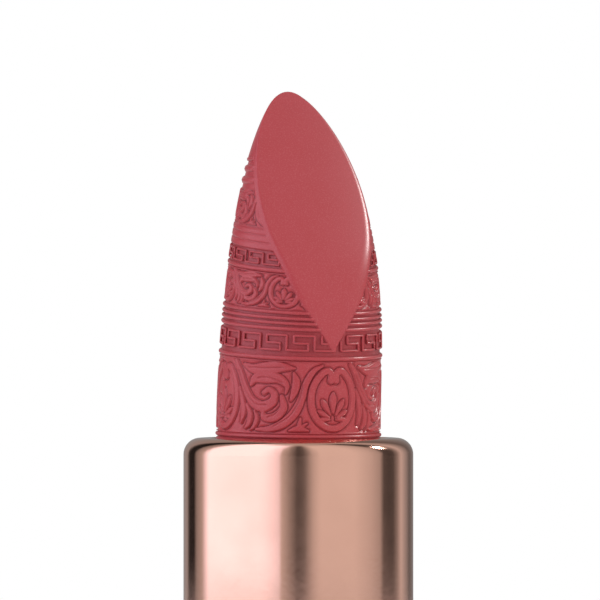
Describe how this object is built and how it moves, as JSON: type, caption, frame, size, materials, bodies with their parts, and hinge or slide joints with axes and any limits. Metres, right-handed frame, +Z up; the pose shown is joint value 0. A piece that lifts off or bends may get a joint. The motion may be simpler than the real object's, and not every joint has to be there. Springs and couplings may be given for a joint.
{
  "type": "lipstick case",
  "caption": "Twist-up lipstick case with a relief-engraved, slant-cut wax bullet raised from a round metal sleeve, a round base and a round pull-off cap.",
  "frame": {"origin": "centre of the base's underside, where the case stands", "axes": "+Z up the case, from the base to the bullet; the bullet's slanted face looks about 22 degrees to +X of -Y; the cap stands beside the case towards +X"},
  "size_m": [0.0584, 0.0344, 0.0847],
  "materials": {
    "rose_gold_metal": "polished, rose-gold anodised",
    "black_plastic": "moulded, satin black",
    "white_plastic": "moulded, natural white",
    "steel": "turned and zinc plated",
    "magnet": "nickel-plated magnet",
    "silicone": "soft, greased",
    "label_film": "plain film, no print",
    "wax": "pearly satin lipstick wax"
  },
  "bodies": {
    "base": {"base_shell": "rose_gold_metal", "base_liner": "black_plastic", "base_weight": "steel", "base_label_disc": "label_film", "base_magnet_ring": "magnet", "shoulder_collar": "rose_gold_metal", "guide_tube": "white_plastic", "brake_ring": "silicone"},
    "sleeve": {"sleeve_shell": "rose_gold_metal", "spiral_tube": "white_plastic"},
    "carrier": {"carrier_cup": "white_plastic", "lipstick_bullet": "wax"},
    "cap": {"cap_shell": "rose_gold_metal", "cap_liner": "black_plastic", "cap_weight": "steel", "cap_steel_ring": "steel", "cap_top_plate": "rose_gold_metal"}
  },
  "joints": [
    {"name": "sleeve_twist", "type": "hinge", "parent": "base", "child": "sleeve", "pos_m": [0, 0, 0.04], "axis": [0, 0, 1], "range_deg": [0, 540]},
    {"name": "bullet_lift", "type": "slide", "parent": "base", "child": "carrier", "axis": [0, 0, 1], "range_m": [-0.0264, 0]},
    {"name": "cap_lift", "type": "slide", "parent": "base", "child": "cap", "axis": [0, 0, 1], "range_m": [0, 0.06]}
  ],
  "couplings": [
    {"joint": "bullet_lift", "follows": "sleeve_twist", "m_per_rad": -0.0028011}
  ]
}
